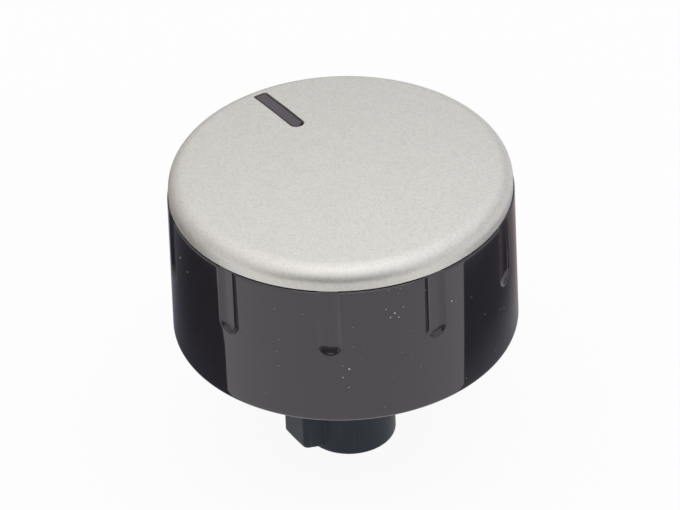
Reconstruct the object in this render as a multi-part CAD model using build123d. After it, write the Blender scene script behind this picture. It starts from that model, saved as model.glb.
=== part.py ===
from build123d import *
import os
from math import cos, radians, sin, sqrt, tan

# A push-on control knob: a gloss skirt with a satin cap, standing on a long keyed stem.
# Sizes are in millimetres. +Z points up towards the cap, and the origin is on the spindle's axis
# at the stem's lower end face. The pointer lies on +Y and the stem's key on -X.

# Skirt
rim_radius = 21.0
skirt_height = 18.85
skirt_draft = 0.67
skirt_wall = 2.1
rim_chamfer = 0.45
rim_inner_chamfer = 0.25
shoulder_chamfer = 0.1
shoulder_wall = 2.0
hollow_chamfer = 0.8

# Grip grooves, open at the top and scooped at the lower end
groove_count = 10
groove_length = 9.0
groove_depth = 0.34
groove_floor = 0.8
groove_side_radius = 1.6
first_groove_angle = 90.0

# Cap
cap_height = 4.2
cap_crown_radius = 155.0
cap_step = 0.43
cap_wall = 1.2
cap_edge_round = 1.5
cap_inner_chamfer = 0.3
cap_lip_chamfer = 0.3
seam_gap = 0.15
cap_clearance = 0.1

# Pointer slot in the cap and the bar of the skirt that fills it
slot_width = 1.8
slot_length = 9.7
slot_rim_margin = 1.85
slot_corner = 0.35
bar_side_gap = 0.14
bar_inner_gap = 0.4
bar_outer_gap = 0.12
bar_drop = 0.12
bar_edge_chamfer = 0.2

# Deck under the cap, with the holes for the cap's staked pegs
deck_wall = 2.0
peg_count = 3
peg_circle_radius = 12.0
peg_radius = 1.2
peg_clearance = 0.1
peg_head_radius = 1.9
peg_head_height = 0.8
first_peg_angle = 30.0

# Stem
stem_reach = 17.3
stem_radius = 5.6
stem_end_chamfer = 0.25
key_width = 4.8
key_height = 2.4
key_round = 0.4
key_setback = 1.6
stem_core_radius = 3.4
stem_web = 2.0

# Hub of the skirt that holds the stem
hub_wall = 1.6
hub_setback = 3.0
hub_ceiling = 0.6
stem_clearance = 0.05
web_count = 4
web_thickness = 1.2
web_setback = 5.5
first_web_angle = 45.0

# Socket in the stem for a D spindle: round lead-in, then the D
spindle_radius = 4.0
spindle_flat = 2.5
spindle_clearance = 0.05
lead_in_radius = 4.4
lead_in_depth = 3.0
lead_in_chamfer = 0.4
drive_depth = 14.0

# Leaf spring that bears on the spindle's flat
spring_thickness = 0.35
spring_width = 3.4
spring_length = 9.8
spring_proud = 0.1
spring_side_gap = 0.1
spring_end_gap = 0.2
pocket_depth = 1.3

# Places that follow from the sizes above
rim_z = stem_reach
shoulder_z = rim_z + skirt_height
cap_lip_z = shoulder_z + seam_gap
apex_z = cap_lip_z + cap_height
shoulder_radius = rim_radius - skirt_height * tan(radians(skirt_draft))
cap_radius = shoulder_radius - cap_step
slot_outer_end = cap_radius - slot_rim_margin
slot_inner_end = slot_outer_end - slot_length
spigot_radius = cap_radius - cap_wall - cap_clearance
deck_apex_z = apex_z - cap_wall - cap_clearance
ceiling_apex_z = deck_apex_z - deck_wall
ceiling_radius = spigot_radius - deck_wall
stem_top_z = ceiling_apex_z - hub_ceiling
hub_low_z = rim_z + hub_setback
web_low_z = rim_z + web_setback
drive_top_z = lead_in_depth + drive_depth
flat_x = -(spindle_flat + spindle_clearance)
pocket_x = flat_x - pocket_depth


def crown_drop(radius):
    """Drop of the cap's crowned top from its apex at a given distance from the axis."""
    return cap_crown_radius - sqrt(cap_crown_radius**2 - radius**2)


def deck_drop(radius):
    """Drop of the shallow cone that lies under the crown, from its apex out to a given distance."""
    return crown_drop(cap_radius) * radius / cap_radius


def crowned_disc(radius, apex, low):
    """Solid disc with the cap's crowned top and rounded top edge, from the height low up to apex."""
    edge = apex - crown_drop(radius)
    middle = radius / 2
    crown = ThreePointArc((radius, 0, edge), (middle, 0, apex - crown_drop(middle)), (0, 0, apex))
    outline = Polyline((0, 0, apex), (0, 0, low), (radius, 0, low), (radius, 0, edge))
    section = make_face(crown + outline)
    corner = section.vertices().sort_by(Axis.X)[-2:].sort_by(Axis.Z)[-1]
    section = fillet(corner, cap_edge_round)
    return revolve(section, Axis.Z)


def coned_disc(radius, apex, low, edge_chamfer):
    """Solid disc with a shallow conical top and a chamfered top edge, from the height low up to apex."""
    edge = apex - deck_drop(radius)
    outline = Polyline((0, 0, apex), (0, 0, low), (radius, 0, low), (radius, 0, edge), close=True)
    section = make_face(outline)
    corner = section.vertices().sort_by(Axis.X)[-2:].sort_by(Axis.Z)[-1]
    section = chamfer(corner, edge_chamfer)
    return revolve(section, Axis.Z)


def slot_outline(side_gap, inner_gap, outer_gap):
    """Closed slot along +Y: full round at its inner end, nearly square at its outer end."""
    width = slot_width - 2 * side_gap
    start = slot_inner_end + inner_gap + width / 2
    end = slot_outer_end - outer_gap
    straight = Pos(0, (start + end) / 2) * Rectangle(width, end - start)
    outer_corners = straight.vertices().group_by(Axis.Y)[-1]
    straight = fillet(outer_corners, slot_corner)
    return straight + Pos(0, start) * Circle(width / 2)


def stem_outline(growth):
    """Round stem with its key on -X, grown all round by a given amount."""
    reach = stem_radius + key_height + growth
    key = Pos(-reach / 2, 0) * Rectangle(reach, key_width + 2 * growth)
    outer_corners = key.vertices().group_by(Axis.X)[0]
    key = fillet(outer_corners, key_round + growth)
    return Circle(stem_radius + growth) + key


def extruded(outline, low, high):
    """Prism of an outline between two heights."""
    return extrude(Pos(0, 0, low) * outline, high - low)


def around_axis(shape, count, first_angle):
    """Copies of a shape evenly spaced about the axis."""
    return [Rot(0, 0, first_angle + k * 360 / count) * shape for k in range(count)]


def groove_cutter():
    """Shallow channel at +X with curved sides, ending below in a scoop of the same section."""
    half_floor = groove_floor / 2
    half_mouth = half_floor + groove_side_radius
    floor_radius = shoulder_radius - groove_depth
    outer = floor_radius + groove_side_radius
    scoop_z = shoulder_z - groove_length + scoop_radius()
    half_way = groove_side_radius * sqrt(0.5)
    floor = Line((floor_radius, 0), (floor_radius, half_floor))
    side = ThreePointArc(
        (floor_radius, half_floor),
        (outer - half_way, half_floor + half_way),
        (outer, half_mouth),
    )
    closing = Polyline((outer, half_mouth), (outer, 0), (floor_radius, 0))
    half_section = make_face(floor + side + closing)
    section = half_section + mirror(half_section, Plane.XZ)
    channel = extruded(section, scoop_z, apex_z)
    scoop = revolve(Pos(0, 0, scoop_z) * half_section, Axis((0, 0, scoop_z), (1, 0, 0)))
    return channel + scoop


def scoop_radius():
    """Half width of a groove where its curved side meets the skirt, a little below the shoulder."""
    local_depth = groove_depth + groove_length * tan(radians(skirt_draft))
    side = sqrt(groove_side_radius**2 - (groove_side_radius - local_depth) ** 2)
    return groove_floor / 2 + side


def skirt_shell():
    """Tapered skirt with its shoulder and the spigot that carries the cap, still solid inside."""
    outline = Polyline(
        (0, 0, rim_z),
        (rim_radius, 0, rim_z),
        (shoulder_radius, 0, shoulder_z),
        (0, 0, shoulder_z),
        close=True,
    )
    section = make_face(outline)
    rim_corner = section.vertices().sort_by(Axis.X)[-1]
    section = chamfer(rim_corner, rim_chamfer)
    shoulder_corner = section.vertices().group_by(Axis.Z)[-1].sort_by(Axis.X)[-1]
    section = chamfer(shoulder_corner, shoulder_chamfer)
    spigot = coned_disc(spigot_radius, deck_apex_z, shoulder_z - shoulder_wall / 2, cap_inner_chamfer)
    return revolve(section, Axis.Z) + spigot


def skirt_hollow():
    """Space inside the skirt: a drafted bore up to the shoulder and a coned one under the deck."""
    step_z = shoulder_z - shoulder_wall
    inner_rim = rim_radius - skirt_wall
    inner_step = inner_rim - (step_z - rim_z) * tan(radians(skirt_draft))
    outline = Polyline(
        (0, 0, rim_z - skirt_wall),
        (inner_rim + skirt_wall + rim_inner_chamfer, 0, rim_z - skirt_wall),
        (inner_rim, 0, rim_z + rim_inner_chamfer),
        (inner_step, 0, step_z),
        (0, 0, step_z),
        close=True,
    )
    section = make_face(outline)
    step_corner = section.vertices().group_by(Axis.Z)[-1].sort_by(Axis.X)[-1]
    section = chamfer(step_corner, hollow_chamfer)
    upper = coned_disc(ceiling_radius, ceiling_apex_z, step_z - hollow_chamfer, hollow_chamfer)
    return revolve(section, Axis.Z) + upper


def pointer_bar():
    """Raised bar that fills the cap's slot, its top just below the cap's crown."""
    outline = slot_outline(bar_side_gap, bar_inner_gap, bar_outer_gap)
    blank = extruded(outline, deck_apex_z - deck_wall, apex_z)
    bar = blank & crowned_disc(cap_radius, apex_z - bar_drop, rim_z)
    top_edges = bar.faces().sort_by(Axis.Z)[-1].edges()
    return chamfer(top_edges, bar_edge_chamfer)


def hub_webs(hollow):
    """Upright webs that tie the hub to the skirt, as far as the hollow reaches."""
    length = rim_radius
    web = extruded(Pos(length / 2, 0) * Rectangle(length, web_thickness), web_low_z, apex_z)
    return [web & hollow for web in around_axis(web, web_count, first_web_angle)]


def peg_places():
    """Centres of the cap's pegs, clear of the pointer bar on +Y."""
    angles = [radians(first_peg_angle + k * 360 / peg_count) for k in range(peg_count)]
    return [Pos(peg_circle_radius * cos(a), peg_circle_radius * sin(a)) for a in angles]


def knob_body():
    """Gloss moulding: grooved skirt, deck, pointer bar, hub with keyed socket, and webs."""
    hollow = skirt_hollow()
    body = skirt_shell() - hollow
    for groove in around_axis(groove_cutter(), groove_count, first_groove_angle):
        body -= groove
    hub = extruded(stem_outline(stem_clearance + hub_wall), hub_low_z, ceiling_apex_z + deck_wall / 2)
    body += hub
    for web in hub_webs(hollow):
        body += web
    body += pointer_bar()
    body -= extruded(stem_outline(stem_clearance), rim_z, stem_top_z)
    for place in peg_places():
        body -= place * extruded(Circle(peg_radius + peg_clearance), hub_low_z, apex_z)
    return body


def top_cap():
    """Crowned cap with its pointer slot, and pegs staked over under the deck."""
    outer = crowned_disc(cap_radius, apex_z, cap_lip_z)
    lip_edge = outer.edges().group_by(Axis.Z)[0]
    outer = chamfer(lip_edge, cap_lip_chamfer)
    cap = outer - coned_disc(cap_radius - cap_wall, apex_z - cap_wall, rim_z, cap_inner_chamfer)
    cap -= extruded(slot_outline(0, 0, 0), cap_lip_z, apex_z + cap_wall)
    ceiling = coned_disc(ceiling_radius, ceiling_apex_z, rim_z, hollow_chamfer)
    head_low_z = ceiling_apex_z - deck_drop(peg_circle_radius) - peg_head_height
    shank_top_z = apex_z - crown_drop(peg_circle_radius) - cap_wall / 2
    for place in peg_places():
        head = place * extruded(Circle(peg_head_radius), head_low_z, apex_z)
        cap += head & ceiling
        cap += place * extruded(Circle(peg_radius), head_low_z, shank_top_z)
    return cap


def shaft_stem():
    """Matte keyed stem with a blind D socket, a spring pocket and a cored upper end."""
    round_part = extruded(Circle(stem_radius), 0, stem_top_z)
    end_edge = round_part.edges().group_by(Axis.Z)[0]
    round_part = chamfer(end_edge, stem_end_chamfer)
    stem = round_part + extruded(stem_outline(0), key_setback, stem_top_z)
    lead_in = extruded(Circle(lead_in_radius), 0, lead_in_depth)
    mouth = Pos(0, 0, lead_in_chamfer / 2) * Cone(
        lead_in_radius + lead_in_chamfer, lead_in_radius, lead_in_chamfer
    )
    bore_radius = spindle_radius + spindle_clearance
    drive_outline = Circle(bore_radius) & Pos(flat_x + bore_radius, 0) * Rectangle(
        2 * bore_radius, 2 * bore_radius
    )
    drive = extruded(drive_outline, lead_in_depth, drive_top_z)
    pocket_width = spring_width + 2 * spring_side_gap
    pocket_top = lead_in_depth + spring_length + 2 * spring_end_gap
    pocket_outline = Pos(pocket_x / 2, 0) * Rectangle(-pocket_x, pocket_width)
    pocket = extruded(pocket_outline, lead_in_depth, pocket_top)
    core = extruded(Circle(stem_core_radius), drive_top_z + stem_web, stem_top_z)
    return stem - lead_in - mouth - drive - pocket - core


def spindle_spring():
    """Bowed leaf: its ends bear on the pocket's back and its middle stands just proud of the flat."""
    low = lead_in_depth + spring_end_gap
    high = low + spring_length
    middle = (low + high) / 2
    crest = flat_x + spring_proud
    front = ThreePointArc(
        (pocket_x + spring_thickness, 0, low),
        (crest, 0, middle),
        (pocket_x + spring_thickness, 0, high),
    )
    back = ThreePointArc((pocket_x, 0, high), (crest - spring_thickness, 0, middle), (pocket_x, 0, low))
    top_end = Line((pocket_x + spring_thickness, 0, high), (pocket_x, 0, high))
    low_end = Line((pocket_x, 0, low), (pocket_x + spring_thickness, 0, low))
    section = make_face(front + top_end + back + low_end)
    return extrude(section, spring_width / 2, both=True)


def write_parts():
    """Writes each piece as its own STEP file."""
    os.makedirs("parts", exist_ok=True)
    pieces = {
        "knob_body": knob_body(),
        "top_cap": top_cap(),
        "shaft_stem": shaft_stem(),
        "spindle_spring": spindle_spring(),
    }
    for name, piece in pieces.items():
        export_step(piece, f"parts/{name}.step")


write_parts()
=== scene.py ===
"""Looks of a push-on stove knob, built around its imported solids.

Points are in metres in the frame of the solids. The origin is on the spindle's axis at the stem's
lower end, +Z points up to the cap, the pointer lies on +Y and the stem's key on -X. Sizes in the
classes are in millimetres and angles in degrees, and what is made of them is scaled to metres.
"""

import logging
import math
from dataclasses import dataclass
from enum import Enum
from typing import Any

import bmesh
import bpy
import numpy as np
from mathutils import Matrix, Vector


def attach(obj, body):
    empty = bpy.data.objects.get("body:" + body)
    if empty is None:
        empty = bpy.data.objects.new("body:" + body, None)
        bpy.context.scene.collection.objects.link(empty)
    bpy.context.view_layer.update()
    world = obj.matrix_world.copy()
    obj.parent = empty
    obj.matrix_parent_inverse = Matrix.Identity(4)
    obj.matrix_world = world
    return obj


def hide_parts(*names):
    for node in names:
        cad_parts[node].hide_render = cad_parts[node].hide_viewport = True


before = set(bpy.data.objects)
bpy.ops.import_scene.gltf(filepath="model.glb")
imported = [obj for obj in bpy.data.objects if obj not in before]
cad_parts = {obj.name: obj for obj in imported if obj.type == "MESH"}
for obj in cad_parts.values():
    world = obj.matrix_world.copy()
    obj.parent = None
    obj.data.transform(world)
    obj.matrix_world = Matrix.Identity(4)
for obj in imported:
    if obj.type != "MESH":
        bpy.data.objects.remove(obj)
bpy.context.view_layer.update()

LOG = logging.getLogger("stove_knob")
MILLIMETRE = 0.001
FULL_TURN = 2.0 * math.pi
QUARTER_TURN = math.pi / 2.0
SHARP_EDGE = math.radians(50.0)
Colour = tuple[float, float, float]
Point = tuple[float, float, float]
Corners = tuple[Point, ...]
Span = tuple[float, float]
WHITE: Colour = (1.0, 1.0, 1.0)


class Slot(Enum):
    """The record's material slots."""

    GLOSS = "gloss_black"
    SATIN = "satin_silver"
    MATTE = "matte_black"
    STEEL = "spring_steel"


class Signal:
    """A number that varies over a surface, on which Python's operators add Math nodes."""

    def __init__(self, graph: "Graph", socket: bpy.types.NodeSocket) -> None:
        """Wraps an output socket of a node tree."""
        self.graph = graph
        self.socket = socket

    def _math(self, operation: str, *operands: Any, clamp: bool = False) -> "Signal":
        """Adds one Math node.

        Args:
            operation: The node's operation.
            operands: Signals or plain numbers, in the node's order.
            clamp: Whether the result is held between 0 and 1.

        Returns:
            The node's result.
        """
        inputs = dict(enumerate(operands))
        node = self.graph.node("ShaderNodeMath", inputs, operation=operation, use_clamp=clamp)
        return Signal(self.graph, node.outputs[0])

    def __add__(self, other: Any) -> "Signal":
        """Sum."""
        return self._math("ADD", self, other)

    __radd__ = __add__

    def __mul__(self, other: Any) -> "Signal":
        """Product."""
        return self._math("MULTIPLY", self, other)

    __rmul__ = __mul__

    def __sub__(self, other: Any) -> "Signal":
        """Difference."""
        return self._math("SUBTRACT", self, other)

    def __rsub__(self, other: Any) -> "Signal":
        """Difference with the number first."""
        return self._math("SUBTRACT", other, self)

    def __truediv__(self, other: Any) -> "Signal":
        """Quotient."""
        return self._math("DIVIDE", self, other)

    def __pow__(self, exponent: float) -> "Signal":
        """Power."""
        return self._math("POWER", self, exponent)

    def clamped(self) -> "Signal":
        """The same number, held between 0 and 1."""
        return self._math("ADD", self, 0.0, clamp=True)

    def most(self, other: Any) -> "Signal":
        """The larger of two numbers."""
        return self._math("MAXIMUM", self, other)

    def rises(self, low: float, high: float) -> "Signal":
        """Smooth step t * t * (3 - 2 t), where t runs from 0 at low to 1 at high, also if high is lower."""
        t = ((self - low) / (high - low)).clamped()
        return t * t * (3.0 - 2.0 * t)

    def rises_over(self, span: Span) -> "Signal":
        """The same step of a length, between two sizes in millimetres."""
        return self.rises(span[0] * MILLIMETRE, span[1] * MILLIMETRE)


class Graph:
    """Node tree of one material or world."""

    def __init__(self, tree: bpy.types.NodeTree) -> None:
        """Empties a node tree."""
        self.tree = tree
        tree.nodes.clear()

    def node(self, kind: str, inputs: dict[Any, Any] | None = None, **settings: Any) -> bpy.types.Node:
        """Adds one node.

        Args:
            kind: The node's type.
            inputs: Values, signals or sockets by input name or number.
            settings: Properties, set before the inputs.

        Returns:
            The node.
        """
        made = self.tree.nodes.new(kind)
        for name, value in settings.items():
            setattr(made, name, value)
        for key, value in (inputs or {}).items():
            source = value.socket if isinstance(value, Signal) else value
            if isinstance(source, bpy.types.NodeSocket):
                self.tree.links.new(source, made.inputs[key])
            else:
                made.inputs[key].default_value = source
        return made

    def finished(self, shader: bpy.types.Node, kind: str = "ShaderNodeOutputMaterial") -> None:
        """Links a shader to a new output node."""
        self.node(kind, {"Surface": shader.outputs[0]})

    def position(self) -> bpy.types.NodeSocket:
        """Object coordinates of the surface, in metres."""
        return self.node("ShaderNodeTexCoord").outputs["Object"]

    def axes(self, vector: bpy.types.NodeSocket) -> tuple[Signal, Signal, Signal]:
        """The three parts of a vector."""
        return tuple(Signal(self, part) for part in self.node("ShaderNodeSeparateXYZ", {0: vector}).outputs)

    def stretched(self, vector: bpy.types.NodeSocket, upright: float) -> bpy.types.NodeSocket:
        """A vector whose upright part is scaled, so that a pattern read there runs longer along Z."""
        return self.node("ShaderNodeMapping", {"Vector": vector, "Scale": (1.0, 1.0, upright)}).outputs[0]

    def noise(self, vector: bpy.types.NodeSocket, grain: float, detail: float = 3.0) -> Signal:
        """Soft noise from about 0 to 1, with features of grain millimetres and finer layers."""
        inputs = {"Vector": vector, "Scale": 1.0 / (grain * MILLIMETRE), "Detail": detail}
        return Signal(self, self.node("ShaderNodeTexNoise", inputs).outputs[0])

    def cells(self, vector: bpy.types.NodeSocket, grain: float) -> tuple[Signal, Signal]:
        """Distance to the nearest of scattered points, as a share of their spacing, and its random number."""
        made = self.node("ShaderNodeTexVoronoi", {"Vector": vector, "Scale": 1.0 / (grain * MILLIMETRE)})
        return Signal(self, made.outputs["Distance"]), self.axes(made.outputs["Color"])[0]

    def mixed(self, share: Signal, first: Any, second: Any) -> bpy.types.NodeSocket:
        """Blend of two colours or sockets, where a share of 0 is the first and 1 the second."""
        first, second = ((*c, 1.0) if isinstance(c, tuple) else c for c in (first, second))
        return self.node("ShaderNodeMix", {0: share, 6: first, 7: second}, data_type="RGBA").outputs[2]

    def bump(self, height: Signal, depth: float, under: Any = None) -> bpy.types.NodeSocket:
        """Normal of a surface with small relief.

        Args:
            height: Relief from 0 to 1.
            depth: Height of the relief in millimetres.
            under: Normal that it is laid over, if any.

        Returns:
            The normal.
        """
        inputs = {"Height": height, "Distance": depth * MILLIMETRE, "Strength": 1.0}
        if under is not None:
            inputs["Normal"] = under
        return self.node("ShaderNodeBump", inputs).outputs[0]


def new_material(name: str) -> tuple[bpy.types.Material, Graph]:
    """Makes an empty material.

    Args:
        name: The material's name.

    Returns:
        The material and its graph.
    """
    material = bpy.data.materials.new(name)
    material.use_nodes = True
    return material, Graph(material.node_tree)


def scaled(colour: Colour, share: float) -> Colour:
    """Colour with each part multiplied by one number."""
    return tuple(share * part for part in colour)


@dataclass(frozen=True)
class Speck:
    """One speck of dust: its azimuth in degrees, its height and its radius in millimetres."""

    azimuth: float
    height: float
    radius: float


@dataclass(frozen=True)
class GlossBlack:
    """Polished black moulding with a faint wave, specks of dust, a duller inside and a painted reflection on
    the pointer bar's top.
    """

    colour: Colour = (0.0170, 0.0150, 0.0195)
    # Painted reflection: a lighter purple colour on the pointer bar's top stands in for the sky that the
    # gloss black reflects.
    pointer: Colour = (0.0440, 0.0310, 0.0490)
    dust: Colour = (0.46, 0.46, 0.49)
    ior: float = 1.66
    specular_tint: Colour = (1.0, 0.93, 0.975)
    roughness: float = 0.045
    inside_roughness: float = 0.32
    dust_roughness: float = 0.6
    inside_radii: Span = (19.6, 19.2)
    pointer_reflection_heights: Span = (38.85, 39.0)
    pointer_reflection_fade: Span = (8.0, 19.0)
    pointer_reflection_inner_share: float = 0.55
    dust_radius: float = 20.86
    dust_spacing: float = 1.1
    fine_dust_shares: Span = (0.075, 0.035)
    fine_dust_chance: Span = (0.60, 0.66)
    fine_dust_cover: float = 0.5
    smudge_haze: float = 0.03
    specks: tuple[Speck, ...] = (
        Speck(164.6, 30.1, 0.20),
        Speck(-120.1, 25.1, 0.13),
        Speck(-122.2, 23.9, 0.10),
        Speck(-120.4, 22.4, 0.10),
        Speck(-83.6, 31.3, 0.11),
        Speck(-104.5, 32.4, 0.12),
        Speck(-106.0, 31.9, 0.09),
        Speck(-103.2, 31.7, 0.09),
        Speck(-101.5, 33.0, 0.08),
        Speck(-107.4, 33.2, 0.08),
        Speck(171.0, 32.6, 0.11),
        Speck(176.5, 31.8, 0.08),
    )

    def placed_dust(self, graph: Graph, place: bpy.types.NodeSocket) -> Signal:
        """Mask of the specks that lie at known places.

        Args:
            graph: The material's graph.
            place: Object coordinates.

        Returns:
            1 on a speck and 0 elsewhere: the falling step of the distance to each centre.
        """
        found: Signal | None = None
        for speck in self.specks:
            turn = math.radians(speck.azimuth)
            centre = (self.dust_radius * math.cos(turn), self.dust_radius * math.sin(turn), speck.height)
            inputs = {0: place, 1: scaled(centre, MILLIMETRE)}
            gap = graph.node("ShaderNodeVectorMath", inputs, operation="DISTANCE").outputs["Value"]
            spot = Signal(graph, gap).rises_over((1.3 * speck.radius, 0.7 * speck.radius))
            found = spot if found is None else found.most(spot)
        return found

    def material(self) -> bpy.types.Material:
        """Builds the material.

        Returns:
            The material.
        """
        made, graph = new_material("gloss_black_moulding")
        place = graph.position()
        x, y, z = graph.axes(place)
        radius = (x * x + y * y) ** 0.5
        inside = radius.rises_over(self.inside_radii)
        gap, chance = graph.cells(place, self.dust_spacing)
        fine_dust = gap.rises(*self.fine_dust_shares) * chance.rises(*self.fine_dust_chance)
        dust = self.placed_dust(graph, place).most(fine_dust * self.fine_dust_cover)
        smudge = graph.noise(graph.stretched(place, 0.45), grain=5.0, detail=4.0)
        tone = graph.mixed(smudge, scaled(self.colour, 0.88), scaled(self.colour, 1.14))
        # Painted reflection on the pointer bar's top: part strength at its inner end, growing to full
        # strength at its outer end.
        outwards = y.rises_over(self.pointer_reflection_fade)
        share = self.pointer_reflection_inner_share + outwards * (1.0 - self.pointer_reflection_inner_share)
        tone = graph.mixed(z.rises_over(self.pointer_reflection_heights) * share, tone, self.pointer)
        haze = smudge.rises(0.5, 0.85) * self.smudge_haze
        roughness = self.roughness + haze + dust * self.dust_roughness
        roughness = roughness + inside * (self.inside_roughness - self.roughness)
        wave = graph.noise(graph.stretched(place, 0.6), grain=9.0, detail=1.0)
        orange_peel = graph.noise(place, grain=0.9, detail=2.0)
        normal = graph.bump(wave, depth=0.012)
        normal = graph.bump(orange_peel, depth=0.00035, under=normal)
        normal = graph.bump(dust, depth=0.03, under=normal)
        inputs = {
            "IOR": self.ior,
            "Specular Tint": (*self.specular_tint, 1.0),
            "Base Color": graph.mixed(dust, tone, self.dust),
            "Roughness": roughness,
            "Normal": normal,
        }
        graph.finished(graph.node("ShaderNodeBsdfPrincipled", inputs))
        return made


@dataclass(frozen=True)
class SatinSilver:
    """Silver paint with fine flakes under a satin lacquer."""

    colour: Colour = (0.742, 0.721, 0.689)
    shade: Colour = (0.585, 0.567, 0.541)
    ior: float = 1.5
    roughness: float = 0.47
    metallic: float = 0.92
    flake: float = 0.13
    flake_spacing: float = 0.208
    flake_tone: float = 0.61
    flake_roughness: float = 0.21
    cloud_share: float = 0.06

    def material(self) -> bpy.types.Material:
        """Builds the material.

        Returns:
            The material.
        """
        made, graph = new_material("satin_silver_paint")
        place = graph.position()
        grain = graph.noise(place, self.flake, detail=2.0)
        gap, chance = graph.cells(place, self.flake_spacing)
        cloud = graph.noise(place, grain=4.0)
        flakes = grain * 0.6 + chance * 0.4
        tone = graph.mixed(flakes.rises(0.62, 0.22) * self.flake_tone, self.colour, self.shade)
        clouded = graph.mixed(cloud.rises(0.35, 0.75) * self.cloud_share, tone, self.shade)
        uneven = (flakes - 0.5) * self.flake_roughness + (cloud - 0.5) * self.cloud_share
        inputs = {
            "IOR": self.ior,
            "Base Color": clouded,
            "Metallic": self.metallic,
            "Roughness": self.roughness + uneven,
            "Normal": graph.bump(gap, depth=0.0015, under=graph.bump(grain, depth=0.004)),
        }
        graph.finished(graph.node("ShaderNodeBsdfPrincipled", inputs))
        return made


@dataclass(frozen=True)
class MatteBlack:
    """Blue-black glass-filled moulding with a fine eroded texture, scuffed towards its lower end."""

    colour: Colour = (0.0140, 0.0205, 0.0305)
    scuff: Colour = (0.050, 0.058, 0.070)
    ior: float = 1.45
    specular: float = 0.3
    roughness: float = 0.52
    worn_heights: Span = (9.0, 1.0)
    wear_share: float = 0.5

    def material(self) -> bpy.types.Material:
        """Builds the material.

        Returns:
            The material.
        """
        made, graph = new_material("matte_blue_black_moulding")
        place = graph.position()
        height = graph.axes(place)[2]
        texture = graph.noise(place, grain=0.14)
        flow = graph.noise(graph.stretched(place, 0.25), grain=1.6)
        drag = graph.noise(graph.stretched(place, 0.06), grain=0.35, detail=2.0)
        wear = drag.rises(0.60, 0.78) * height.rises_over(self.worn_heights) * self.wear_share
        tone = graph.mixed(flow, scaled(self.colour, 0.8), scaled(self.colour, 1.25))
        inputs = {
            "IOR": self.ior,
            "Specular IOR Level": self.specular,
            "Base Color": graph.mixed(wear, tone, self.scuff),
            "Roughness": self.roughness + (texture - 0.5) * 0.25 - wear * 0.2,
            "Normal": graph.bump(drag, depth=0.003, under=graph.bump(texture, depth=0.010)),
        }
        graph.finished(graph.node("ShaderNodeBsdfPrincipled", inputs))
        return made


@dataclass(frozen=True)
class SpringSteel:
    """Rolled spring steel with fine lines along its length and blue-brown heat tint."""

    colour: Colour = (0.50, 0.49, 0.47)
    tint: Colour = (0.30, 0.26, 0.24)
    roughness: float = 0.28

    def material(self) -> bpy.types.Material:
        """Builds the material.

        Returns:
            The material.
        """
        made, graph = new_material("rolled_spring_steel")
        place = graph.position()
        lines = graph.noise(graph.stretched(place, 0.03), grain=0.06, detail=2.0)
        stain = graph.noise(place, grain=1.5)
        inputs = {
            "Metallic": 1.0,
            "Base Color": graph.mixed(stain.rises(0.45, 0.75) * 0.6, self.colour, self.tint),
            "Roughness": self.roughness + (lines - 0.5) * 0.3,
            "Normal": graph.bump(lines, depth=0.002),
        }
        graph.finished(graph.node("ShaderNodeBsdfPrincipled", inputs))
        return made


def rounded_profile(corners: Any, step: float, arc_steps: int = 7) -> np.ndarray:
    """Line through corners, each corner rounded and each straight part divided.

    An arc of radius q touches both sides of its corner. It starts q / tan(half the angle) from the
    corner, and its centre lies q / sin(half the angle) from it along the bisector. Points on the
    arc are the even turn from one touching point to the other about that centre.

    Args:
        corners: Rows of radius, height and rounding.
        step: Longest part of a straight side.
        arc_steps: Parts of each arc.

    Returns:
        Rows of radius and height.
    """
    corners = np.array(corners)
    keys = [corners[:1, :2]]
    share = np.linspace(0.0, 1.0, arc_steps + 1)[:, None]
    nearly_straight = 1.5
    for before, corner, after in zip(corners[:-2], corners[1:-1], corners[2:]):
        a, b = ((end - corner)[:2] / np.linalg.norm((end - corner)[:2]) for end in (before, after))
        half = math.acos(float(np.clip(a @ b, -1.0, 1.0))) / 2.0
        if corner[2] <= 0.0 or half > nearly_straight:
            keys.append(corner[None, :2])
            continue
        start = corner[:2] + a * corner[2] / math.tan(half)
        end = corner[:2] + b * corner[2] / math.tan(half)
        centre = corner[:2] + (a + b) / np.linalg.norm(a + b) * corner[2] / math.sin(half)
        turn = math.pi - 2.0 * half
        swing = np.sin((1 - share) * turn) * (start - centre) + np.sin(share * turn) * (end - centre)
        keys.append(centre + swing / math.sin(turn))
    keys.append(corners[-1:, :2])
    return divided(np.concatenate(keys), step)


def divided(line: np.ndarray, step: float) -> np.ndarray:
    """Line with its long parts divided evenly.

    Args:
        line: Points, one a row.
        step: Longest part of the result.

    Returns:
        The points with others put between them: each part is cut into length / step parts.
    """
    lengths = np.linalg.norm(np.diff(line, axis=0), axis=1)
    parts = np.maximum(np.ceil(lengths / step), 1).astype(int)
    index = np.repeat(np.arange(len(parts)), parts)
    share = (np.arange(len(index)) - np.repeat(np.cumsum(parts) - parts, parts)) / parts[index]
    points = line[index] + (line[index + 1] - line[index]) * share[:, None]
    return np.concatenate([points, line[-1:]])


def turned(radius: np.ndarray, azimuths: np.ndarray, height: np.ndarray) -> np.ndarray:
    """Grid of points (r cos a, r sin a, z) about the axis, for arrays that spread over each other."""
    radius = radius + 0.0 * azimuths
    return np.stack([radius * np.cos(azimuths), radius * np.sin(azimuths), height + 0.0 * radius], axis=-1)


def quarter_round(radius: float, steps: int) -> np.ndarray:
    """Quarter of a circle from its side to its top: rows of q (1 - cos t) and q (1 - sin t)."""
    turn = np.linspace(0.0, QUARTER_TURN, steps)
    return np.stack([radius * (1 - np.cos(turn)), radius * (1 - np.sin(turn))], axis=1)


def evenly_turned(first: float, count: int) -> np.ndarray:
    """Angles in radians that start at one in degrees and divide the circle evenly."""
    return np.radians(first + 360.0 / count * np.arange(count))


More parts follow.
